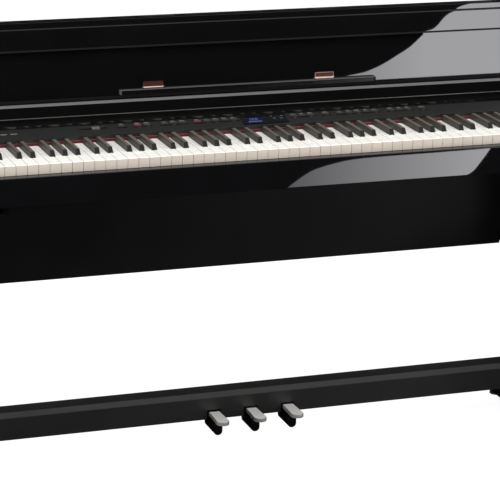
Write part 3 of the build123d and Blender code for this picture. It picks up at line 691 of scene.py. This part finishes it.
# ------------ keyboard
@dataclass
class Keyboard:
    """The keys, their felts and the chassis."""

    edge: float = 0.45
    black_edge: float = 0.6
    white_nodes: tuple[str, ...] = ("white_keys_low", "white_keys_high",
                                    *(f"key_{name}4" for name in "cdefgab"))
    black_nodes: tuple[str, ...] = ("black_keys_low", "black_keys_high",
                                    *(f"key_{name}4_sharp" for name in "cdfga"))

    def build(self) -> None:
        """Dress the keys."""
        for node in self.white_nodes:
            self._white(node)
        for node in self.black_nodes:
            # black keys take the painted light on top and the painted shade on the front
            rounded_node(node, [BLACK_KEY, BLACK_KEY_PAINTED_LIGHT_TOP, BLACK_KEY_PAINTED_SHADE_FRONT],
                         Softening(self.black_edge, 8.0, 2), self._black_part)
        dress("key_chassis", STEEL)
        dress("key_felts", FELT)

    @staticmethod
    def _black_part(face: Face) -> int:
        """Number of a black key's finish: 0 on the sides, 1 on top with painted light and 2 on the
        front with painted shade.
        """
        if face.normal.z > 0.97:
            return 1
        return 2 if face.normal.y < -0.4 else 0

    def _white(self, node: str) -> None:
        """A white key, or a group of them, with painted shade on the front and sides, which are
        darker than the top.

        Args:
            node: Name of the node.
        """
        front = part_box(node)[0].y + MM

        def white_part(face: Face) -> int:
            """Number of the finish: 0 on top, 1 on the front and 2 on the sides, both with painted
            shade.
            """
            if face.normal.y < -0.9 and face.calc_center_median().y < front:
                return 1
            return 2 if abs(face.normal.x) > 0.9 else 0

        # white key fronts and sides take the painted shade
        rounded_node(node, [WHITE_KEY, WHITE_KEY_PAINTED_SHADE_FRONT, WHITE_KEY_PAINTED_SHADE_SIDE],
                     Softening(self.edge, 15.0, 2), white_part)


# ------------ control panel
@dataclass
class ControlPanel:
    """The sloped panel with its buttons, slider, display and printed marks, in millimetres."""

    front: tuple[float, float] = (2.5, 734.0)  # y and z of the face's front edge
    back: tuple[float, float] = (51.0, 747.0)
    mark_height: float = 0.06
    button_places: tuple[float, ...] = (
        -289.5, -254.0, -233.0, -194.0, -174.0, -153.5, -119.5, -98.0, -78.0, -58.0, -38.0,
        101.0, 121.0, 141.0, 176.0, 210.0, 231.0, 251.0, 272.0, 292.0, 331.0, 352.0, 372.0, 406.0)
    slider_span: tuple[float, float] = (-374.0, -332.0)
    slider_ticks: int = 7
    name_bars: tuple[float, float] = (-548.0, -526.0)
    lcd: tuple[float, float] = (-12.0, 30.0)
    lip: tuple[float, float, float, float] = (49.2, 51.0, 744.5, 751.0)  # y and z limits
    lip_inset: float = 1.5
    lip_lean: float = 1.9  # degrees that the lip's front leans back
    # level and spans of the painted shade bars under the button rows
    shade_bar_level: float = 0.6
    shade_bar_spans: tuple[tuple[float, float], ...] = (
        (-300.0, -279.0), (-264.0, -223.0), (-205.0, -142.0), (-130.0, -26.0), (91.0, 152.0),
        (166.0, 187.0), (199.0, 303.0), (320.0, 384.0), (396.0, 417.0))
    digits: tuple[str, ...] = ("bc", "abged", "abcdef")     # segments of 1, 2 and 0

    def build(self) -> None:
        """Dress the panel and print its marks."""
        rounded_node("control_panel", [PANEL], Softening(0.6, 500.0, 2))
        for node in ("power_button", "left_buttons", "right_buttons", "display_buttons"):
            rounded_node(node, [BUTTON], Softening(0.3, 5.0, 2))
        rounded_node("lit_buttons", [LIT], Softening(0.3, 5.0, 2))
        rounded_node("volume_slider", [SLIDER], Softening(0.4, 5.0, 2))
        dress("display_window", GLASS)
        dress("display_lcd", LCD)
        dress("circuit_boards", BOARD)
        self._marks()
        self._painted_shade_and_tracks()
        self._lip()
        self._display()

    def face(self) -> Matrix:
        """Matrix from the face's own plane, x right and y up the slope, to the frame."""
        (y0, z0), (y1, z1) = self.front, self.back
        middle = Vector((0.0, (y0 + y1) / 2, (z0 + z1) / 2)) * MM
        return Matrix.Translation(middle) @ Matrix.Rotation(math.atan2(z1 - z0, y1 - y0), 4, "X")

    def _bar(self, mesh: Mesh, x: float, y: float, wide: float, tall: float,
             base: float = 0.0) -> None:
        """A printed bar on the face, in millimetres.

        Args:
            mesh: The mesh to add to.
            x: Middle along the panel.
            y: Middle up the slope.
            wide: Width of the bar.
            tall: Height of the bar.
            base: Level above the face.
        """
        low = Vector((x - wide / 2, y - tall / 2, base - self.mark_height)) * MM
        high = Vector((x + wide / 2, y + tall / 2, base + self.mark_height)) * MM
        add_box(mesh, low, high, turn=self.face())

    def _marks(self) -> None:
        """Short bars beside the buttons, ticks along the slider and lines of the groups."""
        mesh = bmesh.new()
        for number, x in enumerate(self.button_places):
            self._bar(mesh, x, 15.0, 9.0 + 2.0 * (number % 3), 1.0)
            if number % 4 != 3:
                self._bar(mesh, x, 17.4, 6.0 + 3.0 * (number % 2), 0.7)
            if number % 3:
                self._bar(mesh, x + 1.0, 0.8, 8.0, 0.8)
        start, end = self.slider_span
        for number in range(self.slider_ticks):
            x = start + (end - start) * number / (self.slider_ticks - 1)
            self._bar(mesh, x, 10.0, 0.4, 3.0 if number % 3 == 0 else 1.8)
        for x in self.name_bars:
            self._bar(mesh, x, 1.0, 14.0, 2.2)
        finish_piece(mesh, "panel_marks", [INK], "cabinet")

    def _painted_shade_and_tracks(self) -> None:
        """Dark bars of painted shade below the buttons and along the panel's rear edge, and the
        slider's dark track.
        """
        mesh = bmesh.new()
        for x0, x1 in self.shade_bar_spans:
            self._bar(mesh, (x0 + x1) / 2, self.shade_bar_level, x1 - x0, 4.2)
        x0, x1 = self.slider_span
        self._bar(mesh, (x0 + x1) / 2, 4.0, x1 - x0 + 20.0, 4.5)
        # painted shadow: a dark bar along the panel's rear edge, in front of the lip
        low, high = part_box("control_panel")
        self._bar(mesh, 0.0, 21.6, (high.x - low.x) / MM - 2 * self.lip_inset, 5.4)
        finish_piece(mesh, "panel_painted_shade_and_tracks", [PAINTED_SHADE_AND_TRACK], "cabinet")

    def _lip(self) -> None:
        """A low polished lip along the panel's back edge, which leans back a little."""
        low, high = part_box("control_panel")
        front, back, bottom, top = (v * MM for v in self.lip)
        inset = self.lip_inset * MM
        mesh = bmesh.new()
        for vert in add_box(mesh, (low.x + inset, front, bottom), (high.x - inset, back, top)):
            vert.co.y += math.tan(math.radians(self.lip_lean)) * (vert.co.z - bottom)
        soften(mesh, Softening(0.25, 500.0, 2))
        finish_piece(mesh, "panel_lip", [POLISHED], "cabinet")

    def _display(self) -> None:
        """Three generic digits and two bars above the liquid crystal, and the window's marks."""
        mesh = bmesh.new()
        places = {"a": (0, 1), "d": (0, -1), "g": (0, 0), "b": (1, 0.5), "c": (1, -0.5),
                  "e": (-1, -0.5), "f": (-1, 0.5)}
        for number, segments in enumerate(self.digits):
            for segment in segments:
                side, up = places[segment]
                wide, tall = (0.6, 3.4) if side else (3.4, 0.6)
                self._bar(mesh, 8.0 * number - 3.0 + 2.0 * side, 3.4 * up + 2.6, wide, tall, 0.05)
        for y in (-6.2, -8.4):
            self._bar(mesh, 8.0, y, 30.0, 0.6, 0.05)
        finish_piece(mesh, "display_digits", [LCD_INK], "cabinet")
        marks = bmesh.new()
        for x in (50.0, 74.0):
            self._bar(marks, x, 12.0, 5.0, 0.8, 0.02)
        finish_piece(marks, "window_marks", [INK], "cabinet")
        screen = bmesh.new()
        self._bar(screen, sum(self.lcd) / 2, 0.0, self.lcd[1] - self.lcd[0], 24.0, -0.03)
        finish_piece(screen, "display_field", [LCD], "cabinet")


# ------------ lid
@dataclass
class Lid:
    """The raised lid with its flap, shelf, ledge, holders and hinges, in millimetres."""

    edge: float = 0.8
    flap_edge: float = 1.5
    # painted highlight band along the flap's lower front edge
    painted_highlight_band: tuple[float, float, float] = (0.06, 0.4, 4.4)     # proud by, from and up to
    # painted highlight strip along the shelf's lower front edge
    painted_highlight_strip: tuple[float, float, float] = (0.05, 0.2, 1.7)  # the same for the shelf
    shelf_lean: float = 2.8         # how far back the shelf's front leans at its top
    barrel: tuple[float, float] = (1.6, 4.6)
    holder_rim: float = 1.1
    holder_face: float = 100.0      # least area of a plate's front, square millimetres
    # size of the painted reflection sheet on the shelf
    sheet_gap: float = 1.2
    sheet_back: float = 6.0
    sheet_thick: float = 0.35

    def build(self) -> None:
        """Dress the lid's boards and fittings."""
        rounded_node("lid_panel", [POLISHED], Softening(self.edge, 30.0, 3))
        self._flap()
        # the ledge's upward and left-facing faces take the painted highlight
        rounded_node("music_ledge", [LEDGE, LEDGE_PAINTED_HIGHLIGHT], Softening(0.5, 60.0, 2),
                     lambda face: int(face.normal.z > 0.5 or face.normal.x < -0.5))
        self._shelf()
        self._holder("page_holder_left", COPPER)
        self._holder("page_holder_right", COPPER_PALE)
        for node in ("lid_hinge_fixed", "lid_hinge_moving"):
            dress(node, BRASS)
        for node in ("flap_hinge_fixed", "flap_hinge_moving"):
            dress(node, BLACK_STEEL)
        self._painted_reflection_sheet()

    @staticmethod
    def _strip(mesh: Mesh, node: str, strip: tuple[float, float, float]) -> None:
        """A strip of the second finish along the lower edge of a board's front.

        Args:
            mesh: The mesh to add to.
            node: Name of the board.
            strip: How far it stands proud, and its lower and upper level on the board.
        """
        low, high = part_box(node)
        proud, bottom, top = (v * MM for v in strip)
        add_box(mesh, (low.x, low.y - proud, low.z + bottom), (high.x, low.y + MM, low.z + top),
                material=1)

    def _flap(self) -> None:
        """The flap, with a matt grey band along the lower edge of its front and on its downward
        faces, a painted highlight of the rounded lower edge.
        """
        mesh = cad_copy("lid_flap")
        soften(mesh, Softening(self.flap_edge, 30.0, 3))
        self._strip(mesh, "lid_flap", self.painted_highlight_band)
        # the flap's downward faces take the painted highlight too
        for face in mesh.faces:
            if face.normal.z < -0.12:
                face.material_index = 1
        replace_node("lid_flap", mesh, [POLISHED, FLAP_EDGE_PAINTED_HIGHLIGHT])

    def _shelf(self) -> None:
        """The shelf board, its front leaning back above a pale strip on the lower edge, which is a
        painted highlight.
        """
        low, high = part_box("lid_shelf")
        mesh = cad_copy("lid_shelf")
        for vert in mesh.verts:
            if vert.co.y < (low.y + high.y) / 2:
                vert.co.y += self.shelf_lean * MM * (vert.co.z - low.z) / (high.z - low.z)
        soften(mesh, Softening(self.edge, 30.0, 3))
        self._strip(mesh, "lid_shelf", self.painted_highlight_strip)
        replace_node("lid_shelf", mesh, [POLISHED, SHELF_EDGE_PAINTED_HIGHLIGHT])

    def _holder(self, node: str, plate: Finish) -> None:
        """A page holder with a rimmed plate above a barrel whose paler colour is a painted
        highlight.

        Args:
            node: Name of the node.
            plate: Finish of the plate's rim.
        """
        low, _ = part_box(node)
        mesh = cad_copy(node)
        soften(mesh, Softening(0.25, 8.0, 2))
        first, last = (low.z + v * MM for v in self.barrel)
        least = self.holder_face * MM * MM
        fronts = []
        for face in mesh.faces:
            level = face.calc_center_median().z
            # the barrel's faces take the painted highlight
            if first < level < last:
                face.material_index = 1
            elif face.normal.y < -0.95 and level > last and face.calc_area() > least:
                fronts.append(face)
        bmesh.ops.inset_region(mesh, faces=fronts, thickness=self.holder_rim * MM,
                               depth=-0.2 * MM, use_even_offset=True)
        for face in fronts:
            face.material_index = 2
        replace_node(node, mesh, [plate, COPPER_PAINTED_HIGHLIGHT, COPPER_FIELD])

    def _painted_reflection_sheet(self) -> None:
        """A thin matt pale sheet on top of the shelf board, a painted reflection of the bright
        background in the shelf's top face.
        """
        low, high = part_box("lid_shelf")
        gap = self.sheet_gap * MM
        mesh = bmesh.new()
        back, top = high.y - self.sheet_back * MM, high.z + self.sheet_thick * MM
        add_box(mesh, (low.x + gap, low.y + gap, high.z), (high.x - gap, back, top))
        finish_piece(mesh, "shelf_painted_reflection_sheet", [SHELF_PAINTED_REFLECTION], "lid")


# ------------ pedals
@dataclass
class PedalBoard:
    """The three pedals and what carries them."""

    cap_edge: float = 0.5
    lever_edge: float = 0.6

    def build(self) -> None:
        """Dress the pedals, with satin tops and polished rims."""
        for side in ("left", "middle", "right"):
            rounded_node(f"pedal_cap_{side}", [PEDAL_RIM, PEDAL_TOP],
                         Softening(self.cap_edge, 6.0, 2), lambda face: int(face.normal.z > 0.98))
            rounded_node(f"pedal_lever_{side}", [LEVER],
                         Softening(self.lever_edge, 20.0, 2))
        dress("pedal_bracket", STEEL)
        dress("pedal_pin", STEEL)


# ------------ sockets
@dataclass
class Sockets:
    """Power inlet, headphone jacks and speakers. Sizes are in millimetres."""

    jack_places: tuple[float, ...] = (-622.0, -598.0)
    ring: tuple[float, float, float] = (3.35, 5.6, 0.9)     # inner, outer radius and height
    ring_steps: int = 24

    def build(self) -> None:
        """Dress the electrics and add the jacks' rings."""
        dress("power_inlet", LEDGE)
        rounded_node("headphone_box", [LEDGE], Softening(0.5, 15.0, 2))
        dress("speakers", SPEAKER)
        low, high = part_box("headphone_box")
        mesh = bmesh.new()
        for x in self.jack_places:
            self._ring(mesh, Vector((x * MM, low.y, (low.z + high.z) / 2)))
        bmesh.ops.remove_doubles(mesh, verts=mesh.verts[:], dist=MERGE_DISTANCE)
        bmesh.ops.recalc_face_normals(mesh, faces=mesh.faces[:])
        finish_piece(mesh, "jack_rings", [NICKEL], "cabinet")

    def _ring(self, mesh: Mesh, middle: Vector) -> None:
        """A bevelled ring that looks to the front.

        Args:
            mesh: The mesh to add to.
            middle: Middle of its rear face.
        """
        inner, outer, height = (v * MM for v in self.ring)
        start = middle + Vector((inner, 0.0, 0.0))
        ring = [mesh.verts.new(start + Vector(v)) for v in (
            (0.0, 0.0, 0.0), (0.0, -height, 0.0), (outer - inner, -0.6 * height, 0.0),
            (outer - inner, 0.0, 0.0))]
        edges = [mesh.edges.new(pair) for pair in zip(ring, ring[1:] + ring[:1])]
        bmesh.ops.spin(mesh, geom=ring + edges, cent=middle, axis=(0.0, 1.0, 0.0),
                       angle=2.0 * math.pi, steps=self.ring_steps, use_merge=True)


# ------------ studio
Outline = tuple[tuple[tuple[float, float], ...], ...]


@dataclass
class Studio:
    """Floor, lamps, reflection cards and camera. Sizes are in metres."""

    floor_size: float = 40.0
    floor_grey: float = 0.86
    floor_white: float = 1.12
    floor_share: float = 0.8        # how much of the seen floor is plain white
    sky: float = 0.62
    key_power: float = 105.0
    fill_power: float = 60.0
    back_power: float = 110.0
    lamp_aim: tuple[float, float, float] = (0.0, 0.0, 0.6)
    card_y: float = -1.5
    camera_place: tuple[float, float, float] = (-1.679, -4.588, 1.922)
    yaw: float = 0.349939
    pitch: float = 0.291819
    roll: float = 0.0245044
    sensor: float = 36.0  # millimetres, as the lens
    lens: float = 167.832
    clip: tuple[float, float] = (0.05, 100.0)
    lid_outline: Outline = (
        ((0.8, 0.417), (0.919, 0.436), (0.962, 0.443), (1.013, 0.462), (1.061, 0.488),
         (1.102, 0.512), (1.145, 0.549)),
        ((1.126, 0.5615), (1.157, 0.568), (1.174, 0.579), (1.191, 0.598), (1.208, 0.612),
         (1.229, 0.621), (1.248, 0.632), (1.284, 0.64), (1.319, 0.644), (1.376, 0.646)),
        ((1.43, 0.646), (1.43, 0.417)))
    rail_outline: Outline = (
        ((0.49, 0.222), (0.517, 0.247), (0.56, 0.277), (0.6, 0.298), (0.653, 0.311),
         (0.713, 0.32), (0.8, 0.323), (0.946, 0.324)),
        ((1.132, 0.326), (1.116, 0.304)),
        ((1.094, 0.276), (1.08, 0.262), (1.057, 0.251), (1.033, 0.249)),
        ((0.517, 0.247),))

    def build(self) -> None:
        """Set up everything round the object."""
        self._world()
        self._floor()
        self._lamps()
        self._cards()
        self._camera()
        bpy.context.scene.view_settings.view_transform = "Standard"

    @staticmethod
    def _seen(nodes: Nodes) -> Socket:
        """1 for camera, glossy and transmission rays, otherwise 0."""
        path = nodes.add("LightPath").outputs
        straight = nodes.calc("MAXIMUM", path["Is Camera Ray"], path["Is Glossy Ray"])
        return nodes.calc("MAXIMUM", straight, path["Is Transmission Ray"])

    def _world(self) -> None:
        """White where it is seen, and a soft sky for the light."""
        world = bpy.data.worlds.new("studio_world")
        bpy.context.scene.world = world
        nodes = Nodes.emptied(world)
        light, white = (nodes.add("Background", Color=(1.0, 1.0, 1.0, 1.0), Strength=strength)
                        for strength in (self.sky, 1.0))
        nodes.add("OutputWorld", Surface=nodes.mix_shader(self._seen(nodes), light, white))

    def _floor(self) -> None:
        """A pale floor that keeps the shadow."""
        mesh = bmesh.new()
        bmesh.ops.create_grid(mesh, x_segments=1, y_segments=1, size=self.floor_size / 2,
                              matrix=Matrix.Translation((0.0, 0.0, -0.0005)))
        material = bpy.data.materials.new("studio_floor_white")
        nodes = Nodes.emptied(material)
        matt = nodes.add("BsdfDiffuse", Color=rgba((self.floor_grey,) * 3))
        white = nodes.add("Emission", Strength=self.floor_white)
        share = nodes.calc("MULTIPLY", self._seen(nodes), self.floor_share)
        nodes.add("OutputMaterial", Surface=nodes.mix_shader(share, matt, white))
        self._stage_object(mesh, "studio_floor", material)

    @staticmethod
    def _stage_object(mesh: Mesh, name: str, material: Material) -> bpy.types.Object:
        """An object of the studio, not of the piano."""
        made = new_object(mesh, name, [material])
        return made

    def _lamps(self) -> None:
        """Two large soft lamps in front and one behind, which show in no mirror."""
        for name, place, size, power in (
                ("key_lamp", (-1.6, -2.2, 3.2), 2.6, self.key_power),
                ("fill_lamp", (2.4, -1.6, 2.6), 2.0, self.fill_power),
                ("back_lamp", (-1.0, 3.4, 1.6), 2.4, self.back_power)):
            data = bpy.data.lights.new(name, "AREA")
            data.size = size
            data.energy = power
            lamp = bpy.data.objects.new(name, data)
            lamp.location = place
            lamp.rotation_mode = "QUATERNION"
            aim = Vector(self.lamp_aim) - Vector(place)
            lamp.rotation_quaternion = aim.to_track_quat("-Z", "Y")
            lamp.visible_camera = False
            lamp.visible_glossy = False
            bpy.context.scene.collection.objects.link(lamp)

    def _cards(self) -> None:
        """Bright cards and dark flags, which only mirror in the polished boards."""
        bright = self._card_material()
        for name, outline in (("lid_reflection_card", self.lid_outline),
                              ("rail_reflection_card", self.rail_outline)):
            mesh = bmesh.new()
            points = [point for stretch in outline for point in self._smooth(stretch)]
            mesh.faces.new([mesh.verts.new((x, self.card_y, z)) for x, z in points])
            self._mirrored_only(self._stage_object(mesh, name, bright))
        flags = bmesh.new()
        front = self.card_y - 0.1
        for low, high in (((-3.5, front - 0.02, 0.0), (3.5, front, 2.0)),  # behind the cards
                          ((-4.0, 2.2, 0.0), (4.0, 2.22, 3.4)),     # behind the piano
                          ((-3.5, front, 0.0), (3.5, 2.2, 0.0004)),  # on the floor
                          ((0.56, -0.2, 0.1), (0.7, -0.19, 0.4))):  # by the right column
            add_box(flags, low, high)
        dark = bpy.data.materials.new("flag_black")
        dark.use_nodes = True
        shader = dark.node_tree.nodes["Principled BSDF"]
        shader.inputs["Base Color"].default_value = rgba((0.0, 0.0, 0.0))
        shader.inputs["Specular IOR Level"].default_value = 0.0
        self._mirrored_only(self._stage_object(flags, "black_flags", dark))

    @staticmethod
    def _smooth(curve: tuple[tuple[float, float], ...], steps: int = 4) -> list[Vector]:
        """A smooth line through the points of a curve, or a straight one through one or two.

        Args:
            curve: Points as x and z.
            steps: Stretches between two points.

        Returns:
            The points of the smooth line.
        """
        points = [Vector(p) for p in curve]
        if len(points) < 3:
            return points
        ends = [2 * points[0] - points[1], *points, 2 * points[-1] - points[-2]]
        line = []
        for a, b, c, d in zip(ends, ends[1:], ends[2:], ends[3:]):
            for step in range(steps):
                t = step / steps
                line.append(0.5 * (2 * b + t * (c - a) + t * t * (2 * a - 5 * b + 4 * c - d)
                                   + t ** 3 * (3 * b - a - 3 * c + d)))
        return [*line, points[-1]]

    @staticmethod
    def _mirrored_only(card: bpy.types.Object) -> None:
        """Show a card to mirror rays alone."""
        for ray in ("camera", "diffuse", "transmission", "volume_scatter", "shadow"):
            setattr(card, f"visible_{ray}", False)

    @staticmethod
    def _card_material() -> Material:
        """A lit card that gets brighter to the right."""
        made = bpy.data.materials.new("bright_card")
        nodes = Nodes.emptied(made)
        across = nodes.along(nodes.add("TexCoord").outputs["Object"], "X")
        glow = nodes.add("Emission", Color=rgba((0.97, 0.955, 1.0)),
                         Strength=nodes.spread(across, 0.5, 1.15, 2.0, 8.6))
        nodes.add("OutputMaterial", Surface=glow.outputs[0])
        return made

    def _camera(self) -> None:
        """The camera in front, to the left and above."""
        sy, cy = math.sin(self.yaw), math.cos(self.yaw)
        sp, cp = math.sin(self.pitch), math.cos(self.pitch)
        sr, cr = math.sin(self.roll), math.cos(self.roll)
        ahead = Vector((sy * cp, cy * cp, -sp))
        right = Vector((cy, -sy, 0.0))
        above = right.cross(ahead)
        right, above = cr * right + sr * above, cr * above - sr * right
        data = bpy.data.cameras.new("main_camera")
        data.sensor_width = self.sensor
        data.lens = self.lens
        data.clip_start, data.clip_end = self.clip
        camera = bpy.data.objects.new("main_camera", data)
        bpy.context.scene.collection.objects.link(camera)
        turned = Matrix((right, above, -ahead)).transposed().to_4x4()
        camera.matrix_world = Matrix.Translation(self.camera_place) @ turned
        bpy.context.scene.camera = camera


def main() -> None:
    """Build every sub-assembly and the studio."""
    for part in (Cabinet(), Keyboard(), ControlPanel(), Lid(), PedalBoard(), Sockets(), Studio()):
        part.build()
        log.info("%s built", type(part).__name__)


if __name__ == "__main__":
    main()
